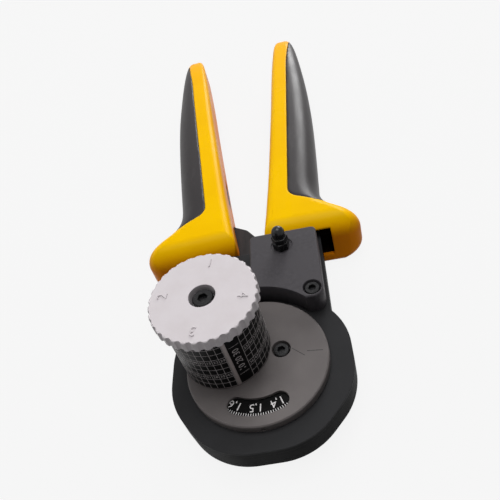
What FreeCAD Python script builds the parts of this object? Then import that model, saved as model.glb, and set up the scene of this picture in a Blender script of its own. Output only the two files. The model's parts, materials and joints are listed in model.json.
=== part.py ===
import FreeCAD, Part
import math
import os

# Hand crimping tool with four indenters, a turret locator and a depth scale.
# Millimetres. The crimp axis is the Z axis, the back cover's face lies on z = 0
# and the handles run along +Y. Everything is drawn with the handles open.

# Layers of the head, from the back to the front
COVER_THICK = 3.9
PLATE_THICK = 2.2
LAYER_THICK = 4.3
DISC_THICK = 3.1
BLOCK_THICK = 8.5

# Clearances
LAYER_PLAY = 0.15
RUN_CLEARANCE = 0.05
CAM_CLEARANCE = 0.15
FREE_CLEARANCE = 0.5

# Head outline: soft sides given by their direction and their depth inside the radius
HEAD_RADIUS = 31.4
HEAD_SIDES = ((0.0, 0.0), (50.0, 0.4), (115.0, 0.6), (180.0, 1.4), (217.0, 0.7), (272.0, 0.75), (318.0, 0.0))
HEAD_ROUND_CENTRE = 7.4

# Neck outline
NECK_RIGHT = 26.3
NECK_LEFT = -14.5
NECK_SHOULDER = 51.2
NECK_TOP = 52.0
NECK_WALL = 5.0

# Tang of the frame, inside the fixed grip
TANG_END = 186.0
TANG_TIP_WIDTH = 7.0
TANG_TIP_RIGHT = 25.2
TANG_ROOT_LEFT = 11.6
TANG_ROOT = 60.0

# Drive of the cam ring
PIVOT_X = 12.0
PIVOT_Y = 44.4
LEVER_TRAVEL = 12.0
NOSE_DISTANCE = 28.0
NOSE_RADIUS = 3.5
NOSE_SHANK_HALF = 2.4
LEVER_NOTCH_ROUND = 1.5
HUB_RADIUS = 8.5
PIVOT_SLEEVE_RADIUS = 4.0

# Arm of the lever, from the block to the end inside the grip: x, y and corner radius
LEVER_ARM = (
    (4.0, 56.8, 4.0),
    (-3.4, 67.2, 5.0),
    (-9.6, 70.9, 4.0),
    (-12.0, 92.0, 30.0),
    (-25.0, 186.0, 3.0),
    (-31.8, 186.0, 3.0),
    (-26.5, 100.0, 30.0),
    (-23.0, 55.0, 3.0),
)

# Wire spring that opens the handles, in a pocket of the lever's hub
SPRING_WIRE_RADIUS = 0.6
SPRING_COIL_RADIUS = 6.1
SPRING_FIXED_ANGLE = -20.0
SPRING_LEVER_ANGLE = 120.0
SPRING_LEG_LENGTH = 3.7
SPRING_POCKET_WALL = 4.9

# Cam ring, die guide and indenters
RING_RADIUS = 22.0
GUIDE_RADIUS = 8.9
GUIDE_SPIGOT_RADIUS = 7.5
INDENTER_COUNT = 4
INDENTER_WIDTH = 2.9
INDENTER_FIRST_ANGLE = 45.0
INDENTER_STROKE = 1.3
TIP_OPEN_RADIUS = 2.05
TIP_WIDTH = 0.8
TIP_HEIGHT = 1.4
TIP_TAPER = 1.5
TAIL_OPEN_RADIUS = 9.6
CAM_MARGIN = 2.0

# Wire entry and contact passage
ENTRY_RADIUS = 3.0
PASSAGE_RADIUS = 2.2
COVER_RADIUS = 24.0

# Ratchet
PAWL_DISTANCE = 30.0
PAWL_ANGLE = 222.0
PAWL_SWING = 25.0
PAWL_SWING_MARGIN = 17.0
PAWL_HUB_RADIUS = 2.2
PAWL_PIN_RADIUS = 1.0
RATCHET_RADIUS = 23.0
RATCHET_PITCH = 2.0
RATCHET_TEETH = 5
RATCHET_DEPTH = 0.55

# Front disc, its window and the depth ring under it
DISC_RADIUS = 24.0
DISC_RIM = 1.6
WINDOW_RADIUS = 17.2
WINDOW_HALF_WIDTH = 3.0
WINDOW_SPREAD = 24.0
RING_POCKET_DEPTH = 1.9
DEPTH_RING_THICK = 1.6
TOMMY_HOLES = 12
TOMMY_RADIUS = 0.55
TOMMY_DEPTH = 2.5
TOMMY_ANGLE = -87.5
TOMMY_PORT_CLEARANCE = 0.2

# Turret
TURRET_X = -10.2
TURRET_Y = 5.75
BARREL_RADIUS = 15.0
BARREL_HEIGHT = 25.2
TURRET_GAP = 0.15
KNOB_RADIUS = 17.4
KNOB_THICK = 4.0
KNOB_SCALLOPS = 32
SCALLOP_RADIUS = 1.3
SCALLOP_DEPTH = 0.6
KNOB_HOLE_RADIUS = 4.35
LOCATOR_POSITIONS = 4
LOCATOR_RADIUS = 1.75
LOCATOR_FIRST_DEPTH = 8.0
LOCATOR_STEP = 2.0
POST_RADIUS = 3.9
SPRING_SEAT_RADIUS = 6.0
CONE_WASHERS = 5
CONE_WASHER_THICK = 0.6
CONE_WASHER_RISE = 0.4
WASHER_RADIUS = 5.4
WASHER_THICK = 0.8
WASHER_GAP = 0.25
LABEL_THICK = 0.25
LABEL_MARGIN = 0.6
LABEL_GAP = 1.3
LABEL_GAP_ANGLE = -71.5
INDEX_RADIUS = 8.0
INDEX_BALL_RADIUS = 1.25
INDEX_RISE = 0.9
INDEX_ANGLE = -90.0
INDEX_SEAT = 0.5

# Block over the neck
BLOCK_LEFT = -0.2
BLOCK_RIGHT = 25.3
BLOCK_LOBE_BOTTOM = 18.3
BLOCK_CORNER = 2.0
BLOCK_LOBE_CORNER = 3.9
BLOCK_ARC_RADIUS = 26.3
BLOCK_EDGE = 0.4

# Fasteners
SCREW_RADIUS = 1.5
SCREW_HEAD_RADIUS = 2.75
SCREW_HEAD_HEIGHT = 2.0
COUNTERBORE_RADIUS = 3.25
HEX_KEY = 2.5
HEX_DEPTH = 1.3
BLOCK_SCREW = (21.4, 22.3)
BLOCK_SCREW_SINK = 0.4
DISC_SCREW = (8.4, 2.6)
DISC_SCREW_SINK = 0.3
TURRET_SCREW_RADIUS = 2.0
TURRET_HEAD_RADIUS = 3.4
TURRET_HEAD_HEIGHT = 3.4
TURRET_KEY = 3.0
STUD_RADIUS = 1.5
STUD_SEAT_RADIUS = 4.05
STUD_SEAT_DEPTH = 0.6
LOCK_NUT_FLATS = 5.5
LOCK_NUT_HEIGHT = 3.4
CAP_NUT_FLATS = 5.3
CAP_NUT_HEX = 2.4
CAP_NUT_RADIUS = 2.45
CAP_NUT_DOME = 4.3
COVER_SCREW_CIRCLE = 18.5
COVER_SCREW_COUNT = 3
PLATE_SCREW_FIRST = -190.0
PLATE_SCREW_STEP = 45.0
PLATE_SCREW_COUNT = 6
SUNK_HEAD_HEIGHT = 1.6
BLIND_SKIN = 0.6
DOWEL_RADIUS = 1.5
DOWEL_Y = (36.0, 49.0)
KNOB_PIN_RADIUS = 1.0
KNOB_PIN_CIRCLE = 11.0
KNOB_PIN_COUNT = 3
KNOB_PIN_LENGTH = 5.0

# Grips: y, inner edge, outer edge, bottom and top at each station
GRIP_STATIONS = (
    (52.5, 6.2, 37.4, -1.3, 20.4),
    (54.0, 5.2, 40.6, -1.4, 20.4),
    (56.5, 5.1, 42.3, -1.4, 20.4),
    (59.5, 5.4, 42.1, -1.3, 20.4),
    (62.5, 5.7, 39.6, -1.2, 20.4),
    (66.0, 6.1, 35.0, -1.0, 20.4),
    (71.0, 6.5, 30.8, -0.6, 20.3),
    (78.0, 7.1, 28.6, -0.2, 20.1),
    (88.0, 7.9, 28.5, 0.3, 19.9),
    (120.0, 10.0, 29.9, 0.9, 19.5),
    (150.0, 11.8, 30.4, 1.2, 19.2),
    (180.0, 13.5, 29.2, 1.8, 18.6),
    (198.0, 14.9, 27.8, 2.6, 17.8),
    (208.0, 16.0, 26.6, 3.7, 16.7),
    (213.0, 17.4, 25.4, 5.1, 15.3),
    (215.6, 19.2, 23.7, 7.1, 13.3),
)
GRIP_INNER_ROUND = 0.17
GRIP_UPPER_ROUND = 0.42
GRIP_LOWER_ROUND = 0.30
GRIP_FRONT_UPPER = 8.0
GRIP_FRONT_LOWER = 2.0
INLAY_THICK = 2.2
INLAY_EDGE_FOOT = 15.9
INLAY_EDGE_HEAD = 21.9
INLAY_FOOT = 73.6
INLAY_LOW_X = 28.2
INLAY_LOW_Y = 67.2
INLAY_BACK = 76.0
INLAY_HEAD = 186.0
INLAY_POINT = 212.0
INLAY_CORNER = 6.5
SOCKET_RIGHT = 30.8
SOCKET_BOTTOM = 2.7
SOCKET_TOP = 16.5
SOCKET_DEPTH = 12.0
MOVING_GRIP_SHIFT = (-1.6, -0.6)
MOVING_GRIP_LEAN = 3.2

# Heights that follow from the layers
BACK = COVER_THICK
LAYER = BACK + PLATE_THICK
FRONT = LAYER + LAYER_THICK
FACE = FRONT + PLATE_THICK
DISC_TOP = FACE + DISC_THICK
BLOCK_TOP = FACE + BLOCK_THICK
MOVING_BOTTOM = LAYER + LAYER_PLAY
MOVING_TOP = FRONT - LAYER_PLAY
BARREL_BOTTOM = DISC_TOP + TURRET_GAP
BARREL_TOP = BARREL_BOTTOM + BARREL_HEIGHT
KNOB_TOP = BARREL_TOP + KNOB_THICK
BLOCK_SCREW_SEAT = BLOCK_TOP - SCREW_HEAD_HEIGHT - BLOCK_SCREW_SINK
DISC_SCREW_SEAT = DISC_TOP - SCREW_HEAD_HEIGHT - DISC_SCREW_SINK
STUD_SEAT = BLOCK_TOP - STUD_SEAT_DEPTH
POST_TOP = BARREL_TOP - WASHER_GAP - WASHER_THICK
SPRING_SEAT = POST_TOP - CONE_WASHERS * (CONE_WASHER_THICK + CONE_WASHER_RISE) - RUN_CLEARANCE

# Radii that follow from their neighbours
DEPTH_RING_OUTER = DISC_RADIUS - DISC_RIM
DEPTH_RING_INNER = WINDOW_RADIUS - WINDOW_HALF_WIDTH - RUN_CLEARANCE
PLATE_SCREW_CIRCLE = (HEAD_RADIUS + RING_RADIUS) / 2

ORIGIN = (0.0, 0.0)
PIVOT = (PIVOT_X, PIVOT_Y)
TURRET = (TURRET_X, TURRET_Y)
PIVOT_TO_AXIS = math.hypot(PIVOT_X, PIVOT_Y)
AXIS_ANGLE = math.degrees(math.atan2(-PIVOT_Y, -PIVOT_X)) % 360.0


def polar(radius, degrees, centre=ORIGIN):
    angle = math.radians(degrees)
    return (centre[0] + radius * math.cos(angle), centre[1] + radius * math.sin(angle))


NOSE_REST = polar(NOSE_DISTANCE, AXIS_ANGLE + LEVER_TRAVEL / 2, PIVOT)
NOSE_END = polar(NOSE_DISTANCE, AXIS_ANGLE - LEVER_TRAVEL / 2, PIVOT)
NOSE_REST_ANGLE = math.degrees(math.atan2(NOSE_REST[1], NOSE_REST[0]))
NOSE_END_ANGLE = math.degrees(math.atan2(NOSE_END[1], NOSE_END[0]))
RING_TRAVEL = NOSE_END_ANGLE - NOSE_REST_ANGLE
PAWL = polar(PAWL_DISTANCE, PAWL_ANGLE, PIVOT)


def vector(x, y, z=0.0):
    return FreeCAD.Vector(x, y, z)


def rod(radius, bottom, top, centre=ORIGIN):
    return Part.makeCylinder(radius, top - bottom, vector(centre[0], centre[1], bottom))


def cone(bottom_radius, top_radius, bottom, top, centre=ORIGIN):
    base = vector(centre[0], centre[1], bottom)
    return Part.makeCone(bottom_radius, top_radius, top - bottom, base)


def tube(outer, inner, bottom, top, centre=ORIGIN):
    return rod(outer, bottom, top, centre).cut(rod(inner, bottom, top, centre))


def box(x0, x1, y0, y1, z0, z1):
    return Part.makeBox(x1 - x0, y1 - y0, z1 - z0, vector(x0, y0, z0))


def slab(wire, bottom, top):
    face = Part.Face(wire)
    face.translate(vector(0, 0, bottom))
    return face.extrude(vector(0, 0, top - bottom))


def corner_arc(before, here, after, radius):
    """Start, middle and end of the arc that rounds the corner at here."""
    towards_before = (before - here).normalize()
    towards_after = (after - here).normalize()
    half = towards_before.getAngle(towards_after) / 2
    setback = radius / math.tan(half)
    bisector = (towards_before + towards_after).normalize()
    middle = here + bisector * (radius / math.sin(half) - radius)
    return here + towards_before * setback, middle, here + towards_after * setback


def outline(corners):
    """Closed wire through (x, y, radius) corners, each rounded by its own radius."""
    points = [vector(x, y) for x, y, radius in corners]
    count = len(points)
    edges = []
    ends = []
    for i in range(count):
        radius = corners[i][2]
        if radius > 0:
            start, middle, end = corner_arc(points[i - 1], points[i], points[(i + 1) % count], radius)
            ends.append((start, end, Part.Arc(start, middle, end).toShape()))
        else:
            ends.append((points[i], points[i], None))
    for i in range(count):
        if ends[i][2]:
            edges.append(ends[i][2])
        leave = ends[i][1]
        arrive = ends[(i + 1) % count][0]
        if leave.distanceToPoint(arrive) > 1e-6:
            edges.append(Part.LineSegment(leave, arrive).toShape())
    return Part.Wire(edges)


def hexagon(flats, centre=ORIGIN, turn=0.0):
    radius = flats / math.sqrt(3)
    corners = [polar(radius, turn + 60 * i, centre) for i in range(6)]
    return outline([(x, y, 0) for x, y in corners])


def turned(profile, centre=ORIGIN):
    """Solid turned about the vertical line through centre from (radius, height) points."""
    points = [vector(radius, 0, height) for radius, height in profile]
    face = Part.Face(Part.makePolygon(points + points[:1]))
    solid = face.revolve(vector(0, 0, 0), vector(0, 0, 1), 360)
    solid.translate(vector(centre[0], centre[1]))
    return solid


def rotated(shape, degrees, centre=ORIGIN):
    copy = shape.copy()
    copy.rotate(vector(centre[0], centre[1]), vector(0, 0, 1), degrees)
    return copy


def around(shape, count, centre=ORIGIN):
    return [rotated(shape, 360.0 * i / count, centre) for i in range(count)]


def joined(shapes):
    return shapes[0].fuse(shapes[1:]).removeSplitter()


def vertical_edges(shape, x0, x1, y0, y1):
    found = []
    for edge in shape.Edges:
        ends = edge.BoundBox
        flat = ends.XLength < 1e-6 and ends.YLength < 1e-6
        inside = x0 < ends.XMin < x1 and y0 < ends.YMin < y1
        if flat and inside:
            found.append(edge)
    return found


# Plates of the head

def head_blank(bottom, top):
    """The head's outline: straight sides round the crimp axis joined by wide arcs."""
    corners = []
    for i, (direction, depth) in enumerate(HEAD_SIDES):
        next_direction, next_depth = HEAD_SIDES[(i + 1) % len(HEAD_SIDES)]
        turn = math.radians((next_direction - direction) % 360.0)
        distance = HEAD_RADIUS - depth
        along = (HEAD_RADIUS - next_depth - distance * math.cos(turn)) / math.sin(turn)
        foot = polar(distance, direction)
        corner = polar(along, direction + 90, foot)
        corners.append((corner[0], corner[1], HEAD_RADIUS - HEAD_ROUND_CENTRE))
    return slab(outline(corners), bottom, top)


def neck_outline(with_tang):
    left_foot = (NECK_LEFT - 2.5, 20.0, 0)
    right_foot = (NECK_RIGHT, 5.0, 0)
    left_side = [
        (BLOCK_LEFT, NECK_TOP, 0),
        (BLOCK_LEFT, NECK_SHOULDER, 0),
        (NECK_LEFT, NECK_SHOULDER, 3.0),
        left_foot,
    ]
    if not with_tang:
        return outline([right_foot, (NECK_RIGHT, NECK_TOP, 1.5)] + left_side)
    tang = [
        (NECK_RIGHT, TANG_ROOT, 20.0),
        (TANG_TIP_RIGHT, TANG_END, 3.0),
        (TANG_TIP_RIGHT - TANG_TIP_WIDTH, TANG_END, 3.0),
        (TANG_ROOT_LEFT, TANG_ROOT, 4.0),
        (TANG_ROOT_LEFT, NECK_TOP, 1.0),
    ]
    return outline([right_foot] + tang + left_side)


def lever_room(bottom, top):
    """Space between the plates that the lever, its nose and the pawl sweep."""
    wall_right = PIVOT_X + HUB_RADIUS + FREE_CLEARANCE
    wall_left = NECK_LEFT + NECK_WALL
    room = outline([
        (12.5, 12.0, 0),
        (wall_right - 4.0, 24.0, 3.0),
        (wall_right, 33.0, 3.0),
        (wall_right, TANG_ROOT - 1.5, 1.0),
        (TANG_ROOT_LEFT - 1.5, TANG_ROOT + 2.0, 0),
        (NECK_LEFT - 20.0, TANG_ROOT + 2.0, 0),
        (NECK_LEFT - 20.0, NECK_SHOULDER, 0),
        (wall_left, NECK_SHOULDER, 1.0),
        (wall_left, 26.0, 2.0),
        (-3.0, 18.0, 0),
    ])
    return slab(room, bottom, top)


def wedge(centre, reach, start, end, bottom, top):
    """Sector of a disc between two directions, less than half a turn apart."""
    corner = reach / math.cos(math.radians(end - start) / 2)
    first = polar(corner, start, centre)
    last = polar(corner, end, centre)
    triangle = outline([(centre[0], centre[1], 0), (first[0], first[1], 0), (last[0], last[1], 0)])
    return rod(reach, bottom, top, centre).common(slab(triangle, bottom, top))


def pawl_room(bottom, top):
    aim = PAWL_ANGLE - 180
    shoulder = PAWL_SWING + 40
    return joined([
        rod(PAWL_HUB_RADIUS + FREE_CLEARANCE, bottom, top, PAWL),
        wedge(PAWL, 2 * PAWL_HUB_RADIUS, aim - shoulder, aim + shoulder, bottom, top),
        wedge(PAWL, PAWL_DISTANCE - RATCHET_RADIUS, aim - PAWL_SWING - PAWL_SWING_MARGIN,
              aim + PAWL_SWING + PAWL_SWING_MARGIN, bottom, top),
    ])


def plate_screw_places():
    return [polar(PLATE_SCREW_CIRCLE, PLATE_SCREW_FIRST + PLATE_SCREW_STEP * i)
            for i in range(PLATE_SCREW_COUNT)]


def cover_screw_places():
    return [polar(COVER_SCREW_CIRCLE, 30 + 360.0 * i / COVER_SCREW_COUNT)
            for i in range(COVER_SCREW_COUNT)]


def dowel_places():
    wall_left = PIVOT_X + HUB_RADIUS + FREE_CLEARANCE
    return [((wall_left + NECK_RIGHT) / 2, y) for y in DOWEL_Y]


def front_plate():
    plate = joined([head_blank(FRONT, FACE), slab(neck_outline(True), FRONT, FACE)])
    holes = [
        rod(PASSAGE_RADIUS, FRONT, FACE),
        rod(TURRET_SCREW_RADIUS, FRONT, FACE, TURRET),
        rod(SCREW_RADIUS, FRONT, FACE, DISC_SCREW),
        rod(SCREW_RADIUS, FRONT, FACE, BLOCK_SCREW),
        rod(STUD_RADIUS, FRONT, FACE, PIVOT),
        rod(PAWL_PIN_RADIUS, FRONT, FRONT + PLATE_THICK / 2, PAWL),
    ]
    holes += [rod(SCREW_RADIUS, FRONT, FACE - BLIND_SKIN, place) for place in plate_screw_places()]
    holes += [rod(DOWEL_RADIUS, FRONT, FACE - BLIND_SKIN, place) for place in dowel_places()]
    return plate.cut(holes)


def back_plate():
    plate = joined([head_blank(BACK, LAYER), slab(neck_outline(False), BACK, LAYER)])
    holes = [
        rod(GUIDE_SPIGOT_RADIUS, BACK, LAYER),
        rod(STUD_RADIUS, BACK, LAYER, PIVOT),
        cone(STUD_RADIUS + SUNK_HEAD_HEIGHT, STUD_RADIUS, BACK, BACK + SUNK_HEAD_HEIGHT, PIVOT),
        rod(PAWL_PIN_RADIUS, BACK, LAYER, PAWL),
    ]
    for place in plate_screw_places():
        holes.append(sunk_screw(BACK, LAYER, place))
    for place in cover_screw_places():
        holes.append(rod(SCREW_RADIUS, BACK, LAYER, place))
    holes += [rod(DOWEL_RADIUS, BACK, LAYER, place) for place in dowel_places()]
    return plate.cut(holes)


def head_spacer():
    spacer = joined([head_blank(LAYER, FRONT), slab(neck_outline(True), LAYER, FRONT)])
    holes = [
        rod(RING_RADIUS + RUN_CLEARANCE, LAYER, FRONT),
        lever_room(LAYER, FRONT),
        pawl_room(LAYER, FRONT),
        spring_leg(SPRING_FIXED_ANGLE, RUN_CLEARANCE),
        rod(SCREW_RADIUS, LAYER, FRONT, BLOCK_SCREW),
    ]
    holes += [rod(SCREW_RADIUS, LAYER, FRONT, place) for place in plate_screw_places()]
    holes += [rod(DOWEL_RADIUS, LAYER, FRONT, place) for place in dowel_places()]
    return spacer.cut(holes)


def back_cover():
    cover = rod(COVER_RADIUS, 0, BACK)
    cover = cover.makeChamfer(0.6, [edge for edge in cover.Edges if edge.BoundBox.ZMax < 1e-6])
    holes = [rod(ENTRY_RADIUS, 0, BACK)]
    holes += [sunk_screw(0, BACK, place) for place in cover_screw_places()]
    return cover.cut(holes)


# Fasteners

def sunk_screw(bottom, top, place):
    """Countersunk screw whose head is flush with the face at bottom."""
    head = cone(SCREW_RADIUS + SUNK_HEAD_HEIGHT, SCREW_RADIUS, bottom, bottom + SUNK_HEAD_HEIGHT, place)
    return head.fuse(rod(SCREW_RADIUS, bottom + SUNK_HEAD_HEIGHT, top, place)).removeSplitter()


def key_socket(flats, bottom, top, place):
    return slab(hexagon(flats, place, 15.0), bottom, top)


def cap_screw(seat, end, place, radius=SCREW_RADIUS, head_radius=SCREW_HEAD_RADIUS,
              head_height=SCREW_HEAD_HEIGHT, key=HEX_KEY):
    top = seat + head_height
    head = rod(head_radius, seat, top, place)
    rim = [edge for edge in head.Edges if edge.BoundBox.ZMin > top - 1e-6]
    head = head.makeChamfer(0.35, rim)
    screw = head.fuse(rod(radius, end, seat, place)).removeSplitter()
    return screw.cut(key_socket(key, top - HEX_DEPTH, top, place))


def sunk_screws(bottom, top, places):
    screws = []
    for place in places:
        screw = sunk_screw(bottom, top, place)
        screws.append(screw.cut(key_socket(HEX_KEY * 0.8, bottom, bottom + HEX_DEPTH, place)))
    return Part.makeCompound(screws)


def pivot_stud():
    top = STUD_SEAT + LOCK_NUT_HEIGHT + CAP_NUT_HEX
    head = cone(STUD_RADIUS + SUNK_HEAD_HEIGHT, STUD_RADIUS, BACK, BACK + SUNK_HEAD_HEIGHT, PIVOT)
    return head.fuse(rod(STUD_RADIUS, BACK + SUNK_HEAD_HEIGHT, top, PIVOT)).removeSplitter()


def chamfered_hex(flats, bottom, top, centre, turn):
    prism = slab(hexagon(flats, centre, turn), bottom, top)
    corner = flats / math.sqrt(3)
    bevel = (corner - flats / 2) * 0.6
    dome = turned([
        (0, bottom), (corner - bevel, bottom), (corner, bottom + bevel),
        (corner, top - bevel), (corner - bevel, top), (0, top),
    ], centre)
    return prism.common(dome)


def lock_nut():
    top = STUD_SEAT + LOCK_NUT_HEIGHT
    nut = chamfered_hex(LOCK_NUT_FLATS, STUD_SEAT, top, PIVOT, 20.0)
    return nut.cut(rod(STUD_RADIUS, STUD_SEAT, top, PIVOT))


def cap_nut():
    seat = STUD_SEAT + LOCK_NUT_HEIGHT
    hexagonal = chamfered_hex(CAP_NUT_FLATS, seat, seat + CAP_NUT_HEX, PIVOT, 0.0)
    straight = seat + CAP_NUT_HEX + CAP_NUT_DOME - CAP_NUT_RADIUS
    shank = rod(CAP_NUT_RADIUS, seat + CAP_NUT_HEX, straight, PIVOT)
    dome = Part.makeSphere(CAP_NUT_RADIUS, vector(PIVOT_X, PIVOT_Y, straight))
    nut = joined([hexagonal, shank, dome])
    return nut.cut(rod(STUD_RADIUS, seat, seat + CAP_NUT_HEX, PIVOT))


def neck_dowels():
    return Part.makeCompound([rod(DOWEL_RADIUS, BACK, FACE - BLIND_SKIN, place)
                              for place in dowel_places()])


# Cam mechanism

def tail_path(angle):
    """Radius of an indenter tail's centre, seen from the cam ring, angle degrees past rest."""
    return TAIL_OPEN_RADIUS + INDENTER_STROKE * angle / RING_TRAVEL


def cam_point(angle, centre_angle):
    """Point of the cam surface that carries the tail whose centre lies at angle."""
    radius = tail_path(angle)
    slope = INDENTER_STROKE / math.radians(RING_TRAVEL)
    length = math.hypot(radius, slope)
    offset = INDENTER_WIDTH / 2 + CAM_CLEARANCE
    along = offset * radius / length
    across = -offset * slope / length
    turn = math.radians(centre_angle + angle)
    x = (radius + along) * math.cos(turn) - across * math.sin(turn)
    y = (radius + along) * math.sin(turn) + across * math.cos(turn)
    return vector(x, y)


def cam_profile():
    """Closed inner outline of the cam ring: one rise and one easy return per indenter."""
    rise_steps = 8
    return_steps = 5
    low = -RING_TRAVEL - CAM_MARGIN
    high = CAM_MARGIN
    spacing = 360.0 / INDENTER_COUNT
    points = []
    for lobe in range(INDENTER_COUNT):
        centre = INDENTER_FIRST_ANGLE + spacing * lobe
        for step in range(rise_steps + 1):
            points.append(cam_point(low + (high - low) * step / rise_steps, centre))
        top = cam_point(high, centre)
        bottom = cam_point(low, centre + spacing)
        start = math.degrees(math.atan2(top.y, top.x))
        sweep = (math.degrees(math.atan2(bottom.y, bottom.x)) - start) % 360.0
        for step in range(1, return_steps):
            part = step / return_steps
            blend = (1 - math.cos(math.pi * part)) / 2
            radius = top.Length + (bottom.Length - top.Length) * blend
            x, y = polar(radius, start + sweep * part)
            points.append(vector(x, y))
    curve = Part.BSplineCurve()
    curve.interpolate(Points=points, PeriodicFlag=True)
    return Part.Wire([curve.toShape()])


def cam_ring():
    ring = rod(RING_RADIUS, MOVING_BOTTOM, MOVING_TOP)
    slot_half = NOSE_RADIUS + CAM_CLEARANCE
    floor = PIVOT_TO_AXIS - NOSE_DISTANCE
    slot = joined([
        rod(slot_half, MOVING_BOTTOM, MOVING_TOP, (floor, 0)),
        box(floor, RING_RADIUS + 1, -slot_half, slot_half, MOVING_BOTTOM, MOVING_TOP),
    ])
    slot = rotated(slot, NOSE_REST_ANGLE)
    return ring.cut([slab(cam_profile(), MOVING_BOTTOM, MOVING_TOP), slot])


def die_guide():
    body = rod(GUIDE_RADIUS, LAYER, FRONT).fuse(rod(GUIDE_SPIGOT_RADIUS, BACK, LAYER))
    body = body.removeSplitter()
    slot_half = INDENTER_WIDTH / 2 + RUN_CLEARANCE
    slots = [rotated(box(0, GUIDE_RADIUS + 1, -slot_half, slot_half, LAYER, FRONT), angle)
             for angle in indenter_angles()]
    funnel = cone(ENTRY_RADIUS, PASSAGE_RADIUS, BACK, LAYER)
    return body.cut(slots + [funnel, rod(PASSAGE_RADIUS, LAYER, FRONT)])


def indenter_angles():
    return [INDENTER_FIRST_ANGLE + 360.0 * i / INDENTER_COUNT for i in range(INDENTER_COUNT)]


def indenter(angle):
    half = INDENTER_WIDTH / 2
    shoulder = TIP_OPEN_RADIUS + TIP_TAPER
    blade = outline([
        (TIP_OPEN_RADIUS, -TIP_WIDTH / 2, 0),
        (shoulder, -half, 0),
        (TAIL_OPEN_RADIUS, -half, 0),
        (TAIL_OPEN_RADIUS, half, 0),
        (shoulder, half, 0),
        (TIP_OPEN_RADIUS, TIP_WIDTH / 2, 0),
    ])
    body = slab(blade, MOVING_BOTTOM, MOVING_TOP)
    tail = rod(half, MOVING_BOTTOM, MOVING_TOP, (TAIL_OPEN_RADIUS, 0))
    middle = (MOVING_BOTTOM + MOVING_TOP) / 2
    reach = (MOVING_TOP - MOVING_BOTTOM - TIP_HEIGHT) / 2
    upper = Part.makePolygon([
        vector(TIP_OPEN_RADIUS, -half, MOVING_TOP),
        vector(shoulder, -half, MOVING_TOP),
        vector(TIP_OPEN_RADIUS, -half, MOVING_TOP - reach),
        vector(TIP_OPEN_RADIUS, -half, MOVING_TOP),
    ])
    bevel = Part.Face(upper).extrude(vector(0, INDENTER_WIDTH, 0))
    lower = bevel.mirror(vector(0, 0, middle), vector(0, 0, 1))
    return rotated(joined([body, tail]).cut([bevel, lower]), angle)


# Lever

def nose_finger():
    """Finger from the lever's hub into the slot of the cam ring, drawn along the centre line."""
    base_half = NOSE_SHANK_HALF * 2
    hub_side = HUB_RADIUS * 0.7
    neck_end = NOSE_DISTANCE - (RING_RADIUS - (PIVOT_TO_AXIS - NOSE_DISTANCE)) - 0.5
    shank = outline([
        (0, -base_half, 0),
        (hub_side, -base_half, 3.0),
        (neck_end, -NOSE_SHANK_HALF, 3.0),
        (NOSE_DISTANCE, -NOSE_SHANK_HALF, 0),
        (NOSE_DISTANCE, NOSE_SHANK_HALF, 0),
        (neck_end, NOSE_SHANK_HALF, 3.0),
        (hub_side, base_half, 3.0),
        (0, base_half, 0),
    ])
    finger = slab(shank, MOVING_BOTTOM, MOVING_TOP)
    nose = rod(NOSE_RADIUS, MOVING_BOTTOM, MOVING_TOP, (NOSE_DISTANCE, 0))
    finger = rotated(joined([finger, nose]), AXIS_ANGLE + LEVER_TRAVEL / 2)
    finger.translate(vector(PIVOT_X, PIVOT_Y))
    return finger


def ratchet_sector():
    """Toothed sector that passes the pawl tip while the handles close."""
    margin = (LEVER_TRAVEL - RATCHET_PITCH * RATCHET_TEETH) / 2
    start = PAWL_ANGLE + margin
    end = start + RATCHET_PITCH * RATCHET_TEETH
    sector = wedge(PIVOT, RATCHET_RADIUS, start, end, MOVING_BOTTOM, MOVING_TOP)
    gaps = []
    half = RATCHET_PITCH * 0.42
    for i in range(RATCHET_TEETH - 1):
        middle = start + RATCHET_PITCH * (i + 1)
        floor = polar(RATCHET_RADIUS - RATCHET_DEPTH, middle, PIVOT)
        left = polar(RATCHET_RADIUS + 0.1, middle - half, PIVOT)
        right = polar(RATCHET_RADIUS + 0.1, middle + half, PIVOT)
        gap = outline([(floor[0], floor[1], 0), (left[0], left[1], 0), (right[0], right[1], 0)])
        gaps.append(slab(gap, MOVING_BOTTOM, MOVING_TOP))
    return sector.cut(gaps)


def lever_arm():
    """Arm from the hub over the neck's shoulder into the grip."""
    lower_edge = NECK_SHOULDER + CAM_CLEARANCE
    hub_top = polar(HUB_RADIUS * 0.75, 60, PIVOT)
    hub_left = polar(HUB_RADIUS * 0.75, 190, PIVOT)
    start = [(hub_top[0], hub_top[1], 0)]
    end = [
        (NECK_LEFT + NECK_WALL, lower_edge, 0),
        (BLOCK_LEFT, lower_edge, 3.0),
        (hub_left[0], hub_left[1], 0),
    ]
    return slab(outline(start + list(LEVER_ARM) + end), MOVING_BOTTOM, MOVING_TOP)


def lever_web():
    """Web between the lever's arm and the toothed sector."""
    foot = polar(RATCHET_RADIUS - 2.0, PAWL_ANGLE + 2.0, PIVOT)
    web = outline([
        (BLOCK_LEFT, NECK_SHOULDER + CAM_CLEARANCE, 0),
        (foot[0], foot[1], 0),
        (PIVOT_X - 4.0, PIVOT_Y - 5.0, 0),
        (PIVOT_X - 4.0, PIVOT_Y + 4.0, 0),
    ])
    return slab(web, MOVING_BOTTOM, MOVING_TOP)


def lever_plate():
    hub = rod(HUB_RADIUS, MOVING_BOTTOM, MOVING_TOP, PIVOT)
    lever = joined([hub, lever_arm(), lever_web(), ratchet_sector(), nose_finger()])
    notch = vertical_edges(lever, PIVOT_X - HUB_RADIUS, PIVOT_X - PIVOT_SLEEVE_RADIUS,
                           PIVOT_Y - 1.5 * HUB_RADIUS, PIVOT_Y - HUB_RADIUS / 2)
    lever = lever.makeFillet(LEVER_NOTCH_ROUND, notch)
    bore = rod(PIVOT_SLEEVE_RADIUS + RUN_CLEARANCE, MOVING_BOTTOM, MOVING_TOP, PIVOT)
    return lever.cut([bore] + spring_pocket())


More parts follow.
